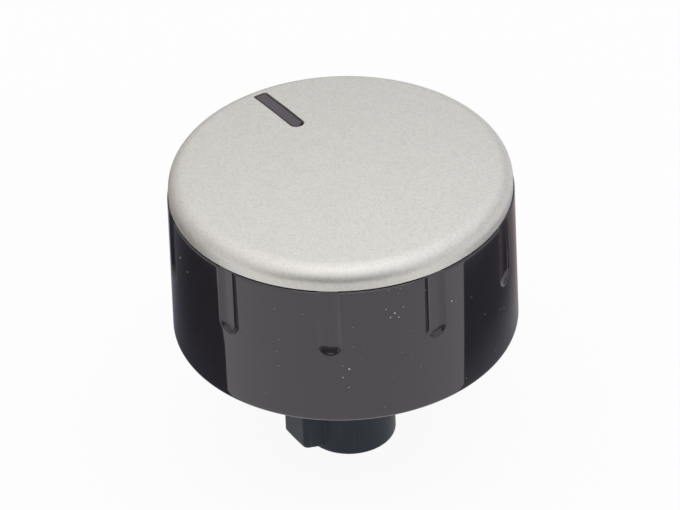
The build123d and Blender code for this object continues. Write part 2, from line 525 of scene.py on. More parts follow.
def soft_min(a: np.ndarray, b: np.ndarray, width: float) -> np.ndarray:
    """Smaller of two arrays, less h * h * width / 4, where h is clip(1 - |a - b| / width)."""
    near = np.clip(1.0 - np.abs(a - b) / width, 0.0, 1.0)
    return np.minimum(a, b) - near * near * width / 4.0


def even_columns(outline: np.ndarray, count: int, angle_share: float, centre: np.ndarray) -> np.ndarray:
    """Places on a closed outline that are even in a mix of its length and of the angle about a centre.

    Args:
        outline: Dense points on the outline, counter-clockwise.
        count: Number of places.
        angle_share: Share of the angle in the mix; the rest is the length.
        centre: Point that the angle is taken about.

    Returns:
        Fractional indices into the outline.
    """
    closed = np.concatenate([outline, outline[:1]])
    length = np.concatenate([[0.0], np.cumsum(np.linalg.norm(np.diff(closed, axis=0), axis=1))])
    angle = np.unwrap(np.arctan2(*(closed - centre).T[::-1]))
    progress = (1 - angle_share) * length / length[-1] + angle_share * (angle - angle[0]) / FULL_TURN
    return np.interp(np.arange(count) / count, progress, np.arange(len(closed)))


def picked(values: np.ndarray, places: np.ndarray) -> np.ndarray:
    """Values of a closed row at fractional indices, linear between neighbours.

    Args:
        values: The row's values.
        places: Fractional indices into it.

    Returns:
        The value at each place.
    """
    low = np.floor(places).astype(int)
    share = (places - low)[:, None]
    return values[low % len(values)] * (1 - share) + values[(low + 1) % len(values)] * share


def ray_on_circle(start: np.ndarray, away: np.ndarray, radius: float) -> np.ndarray:
    """Where rays from a point meet a circle: start + d (-b + sqrt(b * b - s * s + r * r)), b being s . d."""
    towards = away @ start
    return start + away * (-towards + np.sqrt(towards**2 - start @ start + radius**2))[:, None]


@dataclass(frozen=True)
class Grid:
    """Closed surface of points in millimetres, by row and column, whose columns go round.

    A row of one repeated point is a pole. In a ring the last row also joins the first.
    """

    points: np.ndarray
    ring: bool = False

    @classmethod
    def with_ends(cls, points: np.ndarray) -> "Grid":
        """Grid closed at both ends by a pole at the middle of its end rows."""
        first, last = (np.broadcast_to(row.mean(axis=0), row.shape)[None] for row in (points[0], points[-1]))
        return cls(np.concatenate([first, points, last]))

    def faces(self, first: int) -> np.ndarray:
        """Corners of each face.

        Args:
            first: Number of the grid's first point in the piece.

        Returns:
            Rows of four numbers of points.
        """
        rows, columns = self.points.shape[:2]
        index = first + np.arange(rows * columns).reshape(rows, columns)
        below = np.roll(index, -1, axis=0)
        quads = np.stack([index, below, np.roll(below, -1, axis=1), np.roll(index, -1, axis=1)], axis=-1)
        return (quads if self.ring else quads[:-1]).reshape(-1, 4)


class Moulded:
    """Piece of the knob that is made of closed grids."""

    merge_distance = 2e-4
    smallest_edge = 1e-5

    def grids(self) -> list[Grid]:
        """The piece's surfaces."""
        raise NotImplementedError

    def mesh(self, name: str) -> bpy.types.Mesh:
        """Makes one mesh of all the grids.

        Args:
            name: The mesh's name.

        Returns:
            The mesh, with doubled points merged, normals outwards and edges over 50 degrees sharp.
        """
        grids = self.grids()
        counts = [grid.points[..., 0].size for grid in grids]
        points = np.concatenate([grid.points.reshape(-1, 3) for grid in grids]) * MILLIMETRE
        firsts = np.cumsum(counts) - counts
        faces = np.concatenate([grid.faces(first) for grid, first in zip(grids, firsts)])
        mesh = bpy.data.meshes.new(name)
        mesh.vertices.add(len(points))
        mesh.vertices.foreach_set("co", points.astype(np.float32).ravel())
        mesh.loops.add(faces.size)
        mesh.loops.foreach_set("vertex_index", faces.astype(np.int32).ravel())
        mesh.polygons.add(len(faces))
        mesh.polygons.foreach_set("loop_start", np.arange(0, faces.size, 4, dtype=np.int32))
        mesh.update(calc_edges=True)
        work = bmesh.new()
        work.from_mesh(mesh)
        bmesh.ops.remove_doubles(work, verts=work.verts, dist=self.merge_distance * MILLIMETRE)
        bmesh.ops.dissolve_degenerate(work, edges=work.edges, dist=self.smallest_edge * MILLIMETRE)
        bmesh.ops.recalc_face_normals(work, faces=work.faces)
        work.to_mesh(mesh)
        work.free()
        mesh.polygons.foreach_set("use_smooth", np.ones(len(mesh.polygons), dtype=bool))
        mesh.set_sharp_from_angle(angle=SHARP_EDGE)
        return mesh

    def build(self, name: str, node: str, slot: Slot, material: bpy.types.Material) -> bpy.types.Object:
        """Makes the piece, which rides on the body and stands for a node.

        Args:
            name: The piece's name.
            node: The node that it stands for.
            slot: The record's slot of its finish; not used.
            material: Its finish.

        Returns:
            The piece.
        """
        mesh = self.mesh(name)
        mesh.materials.append(material)
        made = bpy.data.objects.new(name, mesh)
        bpy.context.scene.collection.objects.link(made)
        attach(made, "root")
        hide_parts(node)
        LOG.info("%s stands for %s with %d faces", name, node, len(mesh.polygons))
        return made


@dataclass(frozen=True)
class KnobSizes:
    """Sizes that more than one piece of the knob shares."""

    rim_z: float = 17.3
    rim_radius: float = 21.0
    skirt_height: float = 18.85
    skirt_draft: float = 0.67
    cap_height: float = 4.2
    cap_step: float = 0.16
    cap_wall: float = 1.2
    crown_radius: float = 155.0
    seam_gap: float = 0.15
    clearance: float = 0.1
    deck_wall: float = 2.0
    slot_width: float = 1.8
    slot_length: float = 9.7
    slot_rim_margin: float = 1.98
    slot_corner: float = 0.35
    stem_radius: float = 5.6
    stem_clearance: float = 0.05
    key_width: float = 4.8
    key_height: float = 2.4
    key_round: float = 0.4
    hub_ceiling: float = 0.6

    @property
    def shoulder_z(self) -> float:
        """Height of the skirt's shoulder."""
        return self.rim_z + self.skirt_height

    @property
    def draft(self) -> float:
        """How much the skirt's radius shrinks for each millimetre up."""
        return math.tan(math.radians(self.skirt_draft))

    @property
    def shoulder_radius(self) -> float:
        """Radius of the skirt at its shoulder."""
        return self.rim_radius - self.skirt_height * self.draft

    @property
    def apex_z(self) -> float:
        """Height of the crown's middle."""
        return self.shoulder_z + self.seam_gap + self.cap_height

    @property
    def deck_apex(self) -> float:
        """Height of the middle of the deck under the cap."""
        return self.apex_z - self.cap_wall - self.clearance

    @property
    def ceiling_apex(self) -> float:
        """Height of the middle of the deck's underside."""
        return self.deck_apex - self.deck_wall

    @property
    def cap_radius(self) -> float:
        """Outer radius of the cap."""
        return self.shoulder_radius - self.cap_step

    @property
    def spigot_radius(self) -> float:
        """Radius of the part of the body that carries the cap."""
        return self.cap_radius - self.cap_wall - self.clearance

    @property
    def slot_outer_end(self) -> float:
        """Distance of the slot's outer end from the axis."""
        return self.cap_radius - self.slot_rim_margin

    @property
    def slot_inner_end(self) -> float:
        """Distance of the slot's inner end from the axis."""
        return self.slot_outer_end - self.slot_length

    def crown_drop(self, radius: np.ndarray | float) -> np.ndarray | float:
        """Drop of the spherical crown at a radius: R - sqrt(R * R - r * r)."""
        return self.crown_radius - np.sqrt(self.crown_radius**2 - np.square(radius))

    def crowned(self, flat: np.ndarray, drop: float = 0.0) -> np.ndarray:
        """Plane points lifted onto the crown, or to an even depth below it."""
        return np.column_stack([flat, self.apex_z - self.crown_drop(np.hypot(*flat.T)) - drop])

    def deck_drop(self, radius: np.ndarray | float) -> np.ndarray | float:
        """Drop of the shallow cone under the crown, which reaches the crown's drop at the cap's radius."""
        return self.crown_drop(self.cap_radius) * radius / self.cap_radius

    def keyed_radius(self, azimuths: np.ndarray, growth: float) -> np.ndarray:
        """Distance from the axis to the stem's outline, which is a circle joined to a rounded key on -X.

        A ray meets the key's end at reach / cos and its side at half width / sin. Between them it
        meets the corner's arc at b + sqrt(b * b - c * c + q * q), where c is the arc's centre, b the
        ray's reach towards it and q the rounding.

        Args:
            azimuths: Angles in radians.
            growth: Offset of the outline in millimetres.

        Returns:
            The distances.
        """
        along, across = np.maximum(-np.cos(azimuths), 1e-6), np.abs(np.sin(azimuths))
        reach = self.stem_radius + self.key_height + growth
        half = self.key_width / 2.0 + growth
        rounding = self.key_round + growth
        flat = np.minimum(reach / along, half / np.maximum(across, 1e-6))
        centre_x, centre_y = reach - rounding, half - rounding
        towards = centre_x * along + centre_y * across
        inside = towards**2 - centre_x**2 - centre_y**2 + rounding**2
        arc = towards + np.sqrt(np.maximum(inside, 0.0))
        on_corner = (flat * along > centre_x) & (flat * across > centre_y)
        key = np.where(np.cos(azimuths) < 0.0, np.where(on_corner, arc, flat), 0.0)
        return np.maximum(self.stem_radius + growth, key)

    def keyed_azimuths(self, growth: float, count: int) -> np.ndarray:
        """Angles that are nearly even along the stem's outline.

        Args:
            growth: Offset of the outline in millimetres.
            count: Number of angles.

        Returns:
            The angles in radians.
        """
        dense = np.linspace(0.0, FULL_TURN, 7200, endpoint=False)
        outline = turned(self.keyed_radius(dense, growth), dense, 0.0)[:, :2]
        places = even_columns(outline, count, angle_share=0.25, centre=np.zeros(2))
        return places * FULL_TURN / len(dense)

    def slot_outline(self, side: float, inner: float, outer: float) -> tuple[np.ndarray, np.ndarray]:
        """Outline of the pointer slot: full round at its inner end and nearly square at its outer end.

        Args:
            side: Offset inwards at the sides.
            inner: Offset at the inner end.
            outer: Offset at the outer end.

        Returns:
            Dense points and outward normals, counter-clockwise from +X.
        """
        half, corner = self.slot_width / 2.0 - side, self.slot_corner
        low = self.slot_inner_end + inner + half
        high = self.slot_outer_end - outer
        arcs = [
            (half - corner, high - corner, corner, 0.0, 0.5),
            (corner - half, high - corner, corner, 0.5, 1.0),
            (0.0, low, half, 1.0, 2.0),
        ]
        rows = []
        for x, y, radius, start, end in arcs:
            turn = np.linspace(start, end, 61) * math.pi
            normal = np.stack([np.cos(turn), np.sin(turn)], axis=1)
            rows.append(np.concatenate([np.array([x, y]) + radius * normal, normal], axis=1))
        both = divided(np.concatenate(rows + [rows[0][:1]]), step=0.01)[:-1]
        return both[:, :2], both[:, 2:]


@dataclass
class SkirtMoulding(Moulded):
    """Gloss skirt with its grip grooves, deck, hub, webs and pointer bar."""

    knob: KnobSizes
    wall: float = 2.1
    shoulder_wall: float = 2.0
    rim_round: float = 0.45
    inner_rim_round: float = 0.35
    hollow_round: float = 0.8
    step_round: float = 0.25
    deck_round: float = 0.3
    ledge_round: float = 0.08
    ledge_cover: float = 0.02
    wall_step: float = 0.30
    scoop_span: Span = (2.1, -0.3)
    plain_span: Span = (-0.6, 1.0)
    edge_drop: float = 0.16
    edge_rounds: Span = (0.04, 0.05)
    groove_count: int = 10
    groove_length: float = 9.0
    groove_depth: float = 0.34
    groove_floor: float = 0.8
    groove_side: float = 1.6
    groove_reach: float = 4.6
    crease: float = 0.07
    columns_per_groove: int = 62
    groove_columns: float = 0.80
    hub_wall: float = 1.6
    hub_setback: float = 3.0
    hub_rounds: Span = (0.3, 0.12)
    hub_columns: int = 200
    web_count: int = 4
    first_web: float = 45.0
    web_thickness: float = 1.2
    web_setback: float = 5.5
    web_round: float = 0.2
    web_ends: Span = (6.2, 18.95)
    web_overlap: float = 0.4
    web_section: float = 12.0
    bar_gaps: tuple[float, float, float] = (0.14, 0.40, 0.12)
    bar_drop: float = 0.12
    bar_round: float = 0.22
    bar_columns: int = 200

    @property
    def sector(self) -> float:
        """Angle from one groove to the next."""
        return FULL_TURN / self.groove_count

    def azimuths(self) -> np.ndarray:
        """Angles of the columns, close together across each groove and wide between grooves.

        Returns:
            The angles in radians, from half a sector before +Y.
        """
        share = (np.arange(self.columns_per_groove) + 0.5) / self.columns_per_groove * 2.0 - 1.0
        turns = [0.0, math.radians(self.groove_reach), self.sector / 2.0]
        offset = np.interp(np.abs(share), [0.0, self.groove_columns, 1.0], turns) * np.sign(share)
        return (QUARTER_TURN + np.arange(self.groove_count)[:, None] * self.sector + offset).ravel()

    def groove_cut(self, radius: np.ndarray, height: np.ndarray, azimuths: np.ndarray) -> np.ndarray:
        """How far the grooves sink below a round wall.

        In the plane across a groove its floor is flat for half the floor's width, and past that it
        rises as a quarter circle. Below the scoop's centre the distance across is replaced by the
        distance from that centre, which turns the same section into a dished end.

        Args:
            radius: Radius of the plain wall.
            height: Height of each point.
            azimuths: Angle of each column.

        Returns:
            The depth, 0 away from the grooves, with its edge slightly rounded.
        """
        k = self.knob
        offset = (azimuths - QUARTER_TURN + self.sector / 2.0) % self.sector - self.sector / 2.0
        floor = k.shoulder_radius - self.groove_depth
        local_depth = self.groove_depth + self.groove_length * k.draft
        side = math.sqrt(self.groove_side**2 - (self.groove_side - local_depth) ** 2)
        scoop_z = k.shoulder_z - self.groove_length + self.groove_floor / 2.0 + side
        across = np.hypot(radius * np.sin(offset), np.minimum(height - scoop_z, 0.0))
        nearly_full = self.groove_side * 0.999
        rise = np.clip(across - self.groove_floor / 2.0, 0.0, nearly_full)
        cut = floor + self.groove_side - np.sqrt(self.groove_side**2 - rise**2)
        far = across > self.groove_floor / 2.0 + nearly_full
        cut = np.where(far, radius + 1.0, cut / np.cos(offset))
        return np.maximum(radius - soft_min(radius, cut, self.crease), 0.0)

    def shell_profile(self) -> np.ndarray:
        """Section of the skirt and deck, from the deck's middle, down the wall and back inside.

        The wall has short parts near the shoulder and the scoops and long ones below them.

        Returns:
            Rows of radius and height.
        """
        k = self.knob
        step_z = k.shoulder_z - self.shoulder_wall
        edge_z = k.shoulder_z - self.edge_drop
        ceiling_radius = k.spigot_radius - k.deck_wall
        inner_rim = k.rim_radius - self.wall
        inner_step = inner_rim - (step_z - k.rim_z) * k.draft
        scoop_end = k.shoulder_z - self.groove_length
        scoop_top, scoop_low = (scoop_end + way for way in self.scoop_span)
        first = edge_z - self.edge_rounds[1] - 0.01
        heights = np.concatenate(
            [
                np.arange(first, scoop_top + self.wall_step / 3.0, -self.wall_step),
                np.linspace(scoop_top, scoop_low, 24),
                np.linspace(scoop_end + self.plain_span[0], k.rim_z + self.plain_span[1], 9),
            ]
        )
        wall = np.stack([k.rim_radius - (heights - k.rim_z) * k.draft, heights, 0.0 * heights], axis=1)
        upper = [
            [0.0, k.deck_apex, 0.0],
            [k.spigot_radius, k.deck_apex - k.deck_drop(k.spigot_radius), self.deck_round],
            [k.spigot_radius, k.shoulder_z, self.ledge_round],
            [k.cap_radius - self.ledge_cover, k.shoulder_z, self.edge_rounds[0]],
            [k.shoulder_radius, edge_z, self.edge_rounds[1]],
        ]
        lower = [
            [k.rim_radius, k.rim_z, self.rim_round],
            [inner_rim, k.rim_z, self.inner_rim_round],
            [inner_step, step_z, self.hollow_round],
            [ceiling_radius, step_z, self.step_round],
            [ceiling_radius, k.ceiling_apex - k.deck_drop(ceiling_radius), self.hollow_round],
            [0.0, k.ceiling_apex, 0.0],
        ]
        return rounded_profile(np.concatenate([upper, wall, lower]), step=2.4, arc_steps=6)

    def shell(self) -> Grid:
        """Skirt and deck as one revolved wall with the grooves sunk into it.

        On the ledge under the cap the cut of the shoulder fades out towards the spigot.

        Returns:
            The wall.
        """
        k = self.knob
        azimuths = self.azimuths()
        profile = self.shell_profile()
        radius, height = profile[:, :1] + 0.0 * azimuths, profile[:, 1:] + 0.0 * azimuths
        on_ledge = np.clip((radius - k.spigot_radius) / (k.shoulder_radius - k.spigot_radius), 0.0, 1.0)
        ledge_cut = self.groove_cut(np.full_like(radius, k.shoulder_radius), height, azimuths) * on_ledge
        on_wall = radius > k.shoulder_radius - 0.5
        wall_cut = np.where(on_wall, self.groove_cut(radius, height, azimuths), 0.0)
        top = (height > k.shoulder_z - self.edge_drop - 1e-6) & (radius < k.shoulder_radius - 1e-3)
        return Grid(turned(radius - np.where(top, ledge_cut, wall_cut), azimuths, height))

    def hub(self) -> Grid:
        """Keyed tube round the stem: the stem's outline, grown twice, joined by rounded lower edges.

        Returns:
            The tube as a ring.
        """
        k, wall = self.knob, self.hub_wall
        azimuths = k.keyed_azimuths(wall, self.hub_columns)
        inner = k.keyed_radius(azimuths, k.stem_clearance)
        outer = k.keyed_radius(azimuths, k.stem_clearance + wall)
        low, high = k.rim_z + self.hub_setback, k.deck_apex - k.deck_wall / 2.0
        outer_round, inner_round = self.hub_rounds
        corners = [[wall, high, 0.0], [wall, low, outer_round], [0.0, low, inner_round], [0.0, high, 0.0]]
        section = rounded_profile(corners, step=4.0)
        radius = inner + (outer - inner) * (section[:, :1] / wall)
        return Grid(turned(radius, azimuths, section[:, 1:]), ring=True)

    def webs(self) -> list[Grid]:
        """Upright webs, each a rounded section carried straight out from the hub to the skirt.

        The section is made at one height and then stretched to reach just into the deck.

        Returns:
            The webs.
        """
        k = self.knob
        half, tall, rounding = self.web_thickness / 2.0, self.web_section, self.web_round
        low = k.rim_z + self.web_setback
        distance = np.linspace(*self.web_ends, 8)[:, None]
        corners = [[half, tall, 0.0], [half, 0.0, rounding], [-half, 0.0, rounding], [-half, tall, 0.0]]
        section = rounded_profile(corners, step=3.0)
        top = k.ceiling_apex - k.deck_drop(distance) + self.web_overlap
        rising = low + section[:, 1] / tall * (top - self.web_overlap - low)
        height = np.where(section[:, 1] > tall - 0.1, top, rising)
        along, across = distance + 0.0 * height, section[:, 0] + 0.0 * height
        grids = []
        for turn in evenly_turned(self.first_web, self.web_count):
            x = along * math.cos(turn) - across * math.sin(turn)
            y = along * math.sin(turn) + across * math.cos(turn)
            grids.append(Grid.with_ends(np.stack([x, y, height], axis=-1)))
        return grids

    def bar(self) -> Grid:
        """Pointer bar: its outline rises from the deck, turns over a small round and closes on its middle.

        Returns:
            The bar.
        """
        k = self.knob
        points, normals = k.slot_outline(*self.bar_gaps)
        places = even_columns(points, self.bar_columns, angle_share=0.05, centre=points.mean(axis=0))
        outline, normal = picked(points, places), picked(normals, places)
        half = k.slot_width / 2.0 - self.bar_gaps[0]
        middle_y = np.clip(outline[:, 1], points[:, 1].min() + half, points[:, 1].max() - half)
        middle = np.stack([0.0 * middle_y, middle_y], axis=1)
        base = np.full(len(outline), k.deck_apex - k.deck_wall / 2.0)
        rows = [np.column_stack([middle, base]), np.column_stack([outline, base])]
        for inset, drop in quarter_round(self.bar_round, steps=8):
            rows.append(k.crowned(outline - normal * inset, self.bar_drop + drop))
        edge = rows[-1][:, :2]
        for share in np.linspace(1.0, 0.0, 6)[1:]:
            rows.append(k.crowned(middle + (edge - middle) * share, self.bar_drop))
        return Grid(np.stack(rows)[::-1])

    def grids(self) -> list[Grid]:
        """The skirt's surfaces."""
        return [self.shell(), self.hub(), *self.webs(), self.bar()]


@dataclass
class CrownedCap(Moulded):
    """Satin cap: crowned top with a pointer slot, rounded edge, thin wall and three staked pegs."""

    knob: KnobSizes
    edge_round: float = 2.1
    lip_round: float = 0.16
    lip_drop: float = 0.05
    inner_lip_round: float = 0.2
    inner_round: float = 0.3
    ceiling_inset: float = 0.8
    slot_edge: float = 0.10
    columns: int = 520
    peg_count: int = 3
    first_peg: float = 30.0
    peg_circle: float = 12.0
    peg_head: float = 1.9
    peg_height: float = 0.8
    peg_dome: float = 0.45
    peg_root: Span = (0.9, 0.2)
    peg_core: float = 0.6
    peg_columns: int = 48

    def edge_profile(self) -> np.ndarray:
        """Section of the edge, from where the crown ends, over the round, down the wall and inside.

        The round touches the crown and the wall. Its centre is the edge's radius inside the wall,
        and as far inside the crown's sphere.

        Returns:
            Rows of radius and height.
        """
        k, q = self.knob, self.edge_round
        centre_r = k.cap_radius - q
        sphere_z = k.apex_z - k.crown_radius
        centre_z = sphere_z + math.sqrt((k.crown_radius - q) ** 2 - centre_r**2)
        turn = np.linspace(math.atan2(centre_z - sphere_z, centre_r), 0.0, 17)
        over = np.stack([centre_r + q * np.cos(turn), centre_z + q * np.sin(turn)], axis=1)
        lip_z = k.shoulder_z + k.seam_gap - self.lip_drop
        inner, inner_apex = k.cap_radius - k.cap_wall, k.apex_z - k.cap_wall
        under_crown = inner - self.ceiling_inset
        corners = [
            [*over[-1], 0.0],
            [k.cap_radius, lip_z, self.lip_round],
            [inner, lip_z, self.inner_lip_round],
            [inner, inner_apex - k.deck_drop(inner), self.inner_round],
            [under_crown, inner_apex - k.deck_drop(under_crown), 0.0],
        ]
        return np.concatenate([over, rounded_profile(corners, step=0.4, arc_steps=8)[1:]])

    def shell(self) -> Grid:
        """Cap as one ring-shaped surface that passes through its slot.

        Each column starts on the slot's outline. Over the top it is the straight line from there to
        the rim, in the direction of the slot's middle, lifted onto the crown. It goes over the edge
        on its own azimuth, and returns under the crown to the same place on the slot.

        Returns:
            The surface as a ring.
        """
        k = self.knob
        dense, dense_normal = k.slot_outline(0.0, 0.0, 0.0)
        centre = np.array([0.0, (k.slot_inner_end + k.slot_outer_end) / 2.0])
        places = even_columns(dense, self.columns, angle_share=0.55, centre=centre)
        slot, normal = picked(dense, places), picked(dense_normal, places)
        away = (slot - centre) / np.linalg.norm(slot - centre, axis=1)[:, None]
        edge = self.edge_profile()
        rows = [k.crowned(slot + normal * out, drop) for out, drop in quarter_round(self.slot_edge, steps=6)]
        start, end = rows[-1][:, :2], ray_on_circle(centre, away, edge[0, 0])
        close_at_ends = np.concatenate([[0.01, 0.03], np.linspace(0.08, 0.97, 22), [0.99]])
        for share in close_at_ends:
            rows.append(k.crowned(start + (end - start) * share))
        direction = end / np.linalg.norm(end, axis=1)[:, None]
        for radius, height in edge:
            rows.append(np.column_stack([direction * radius, np.full(len(direction), height)]))
        start = rows[-1][:, :2]
        for share in np.linspace(0.0, 1.0, 12)[1:]:
            flat = start + (slot - start) * share
            rows.append(np.column_stack([flat, k.apex_z - k.cap_wall - k.deck_drop(np.hypot(*flat.T))]))
        return Grid(np.stack(rows), ring=True)

    def pegs(self) -> list[Grid]:
        """Domed peg heads under the deck, each a revolved section about its own axis.

        The section starts inside the deck, goes out to the head's side and over its dome.

        Returns:
            The heads.
        """
        k, head = self.knob, self.peg_head
        ceiling = k.ceiling_apex - k.deck_drop(self.peg_circle)
        root, side = (ceiling + up for up in self.peg_root)
        dome = quarter_round(self.peg_dome, steps=9)[:, 1:] + ceiling - self.peg_height
        reach = head * np.cos(np.linspace(0.0, QUARTER_TURN, 9))[:, None]
        foot = [[0.0, root], [head * self.peg_core, root], [head, side]]
        section = np.concatenate([foot, np.concatenate([reach, dome], axis=1)])
        azimuths = np.linspace(0.0, FULL_TURN, self.peg_columns, endpoint=False)
        shape = turned(section[:, :1], azimuths, section[:, 1:])
        turns = evenly_turned(self.first_peg, self.peg_count)
        return [Grid(shape + self.peg_circle * np.array([math.cos(a), math.sin(a), 0.0])) for a in turns]

    def grids(self) -> list[Grid]:
        """The cap's surfaces."""
        return [self.shell(), *self.pegs()]


@dataclass
class KeyedStem(Moulded):
    """Matte stem: keyed outside, with a lead-in, a D socket and a spring pocket inside."""

    knob: KnobSizes
    end_round: float = 0.3
    key_setback: float = 1.6
    key_slope: float = 0.7
    key_edge: float = 0.35
    key_rise: float = 0.01
    plain_from: float = 0.8
    top_chamfer: Span = (0.2, 0.3)
    lead_radius: float = 4.4
    lead_depth: float = 3.0
    lead_chamfer: float = 0.4
    lead_round: float = 0.1
    spindle_radius: float = 4.05
    flat_x: float = 2.55
    drive_depth: float = 14.0
    pocket_x: float = 3.85
    pocket_half: float = 1.8
    pocket_top: float = 13.2
    core_radius: float = 3.4
    core_web: float = 2.0
    columns: int = 260

    def socket_radius(self, azimuths: np.ndarray) -> tuple[np.ndarray, np.ndarray]:
        """Outlines inside the socket.

        A ray meets a flat at its distance / cos, and a side at half width / sin.

        Args:
            azimuths: Angles in radians.

        Returns:
            The D, which is a circle cut at its flat on -X, and the D joined to the spring's pocket.
        """
        key_side = np.cos(azimuths) < 0.0
        along = np.maximum(-np.cos(azimuths), 1e-6)
        across = np.maximum(np.abs(np.sin(azimuths)), 1e-6)
        cut = np.minimum(self.spindle_radius, self.flat_x / along)
        drive = np.where(key_side, cut, self.spindle_radius)
        pocket = np.where(key_side, np.minimum(self.pocket_x / along, self.pocket_half / across), 0.0)
        return drive, np.maximum(drive, pocket)

    def key_face(self, radius: np.ndarray) -> np.ndarray:
        """Height of the key's lower face, which slopes down towards the round."""
        share = (radius - self.knob.stem_radius) / self.knob.key_height
        return self.key_setback - self.key_slope * (1 - share)

    def shell(self) -> Grid:
        """Whole stem as one surface, from the socket's ceiling, round its end, up and down its core.

        Each row is a ring at one height with its own outline. The rows of the key's lower face
        widen from the round to the keyed outline.

        Returns:
            The surface.
        """
        k = self.knob
        azimuths = k.keyed_azimuths(0.0, self.columns)
        keyed = k.keyed_radius(azimuths, 0.0)
        drive, pocket = self.socket_radius(azimuths)
        top = k.ceiling_apex - k.hub_ceiling
        drive_top = self.lead_depth + self.drive_depth
        core_floor = drive_top + self.core_web
        mouth = self.lead_radius + self.lead_chamfer
        end_corners = [
            [self.lead_radius, self.lead_depth, 0.0],
            [self.lead_radius, self.lead_chamfer, self.lead_round],
            [mouth, 0.0, self.lead_round],
            [k.stem_radius, 0.0, self.end_round],
            [k.stem_radius, self.key_setback - self.key_slope - 0.2, 0.0],
        ]
        rings: list[tuple[Any, Any]] = [(0.0, drive_top), (drive, drive_top)]
        rings += [(drive, z) for z in np.linspace(drive_top, self.pocket_top, 4)[1:]]
        rings += [(pocket, z) for z in np.linspace(self.pocket_top - 1e-3, self.lead_depth, 6)]
        rings += list(rounded_profile(end_corners, step=0.6))
        edge = np.minimum(self.key_edge, (keyed - k.stem_radius) * 0.5)
        widening = keyed - edge - k.stem_radius
        for share in np.linspace(0.0, 1.0, 7):
            radius = k.stem_radius + widening * share
            rings.append((radius, self.key_face(radius) + self.key_rise * share))
        for turn in np.linspace(0.0, QUARTER_TURN, 7)[1:]:
            height = self.key_face(keyed - edge) + self.key_rise + self.key_edge * (1 - math.cos(turn))
            rings.append((keyed - edge * (1 - math.sin(turn)), height))
        inset, drop = self.top_chamfer
        rings += [(keyed, z) for z in np.linspace(self.key_setback + self.plain_from, top - drop, 24)]
        rings += [(keyed - inset, top), (self.core_radius, top)]
        rings += [(self.core_radius, core_floor), (0.0, core_floor)]
        radius, height = (np.stack([part + 0.0 * azimuths for part in parts]) for parts in zip(*rings))
        return Grid(turned(radius, azimuths, height))

    def grids(self) -> list[Grid]:
        """The stem's surfaces."""
        return [self.shell()]


@dataclass
class LeafSpring(Moulded):
    """Bowed leaf in the stem's pocket."""

    thickness: float = 0.35
    width: float = 3.4
    length: float = 9.8
    low: float = 3.2
    back_x: float = -3.85
    crest_x: float = -2.45
    edge_round: float = 0.08
    rows: int = 41

    def section(self) -> np.ndarray:
        """Flat section with rounded edges.

        Its corners are gone round once and a side further. The first corner and the end of that
        last arc are left out, because the ring closes there by itself.

        Returns:
            Rows of thickness and width.
        """
        half, q = self.width / 2.0, self.edge_round
        square = [[0.0, -half, q], [self.thickness, -half, q], [self.thickness, half, q], [0.0, half, q]]
        return rounded_profile(square + square[:2], step=0.6)[1:-6]

    def leaf(self) -> Grid:
        """Section carried along an arc.

        The front face passes through both lower corners and the crest, so it is an arc of radius
        (c * c + s * s) / (2 s), where c is half the length and s the rise. Each row is the section,
        set at that height and pushed out by the arc.

        Returns:
            The leaf, closed at both ends.
        """
        half = self.length / 2.0
        rise = self.crest_x - self.thickness - self.back_x
        radius = (half**2 + rise**2) / (2.0 * rise)
        along = np.linspace(-half, half, self.rows)[:, None]
        bow = np.sqrt(radius**2 - along**2) - (radius - rise)
        section = self.section()
        x = self.back_x + bow + section[:, 0]
        y = section[:, 1] + 0.0 * x
        z = self.low + half + along + 0.0 * x
        return Grid.with_ends(np.stack([x, y, z], axis=-1))

    def grids(self) -> list[Grid]:
        """The spring's surface."""
        return [self.leaf()]


@dataclass(frozen=True)
class Card:
    """Sheet that shows only in reflections.

    Corners are to the right of, behind and above the origin as the camera sees it. Going out from
    the stem the sheet is white, then has the near tone, its own tone and the far tone. Its own
    tone turns into the back tone where the way back is long beside the way sideways. A tone that
    isn't given is its own tone.
    """

    name: str
    corners: Corners
    tone: Colour
    near_tone: Colour | None = None
    back_tone: Colour | None = None
    far_tone: Colour | None = None


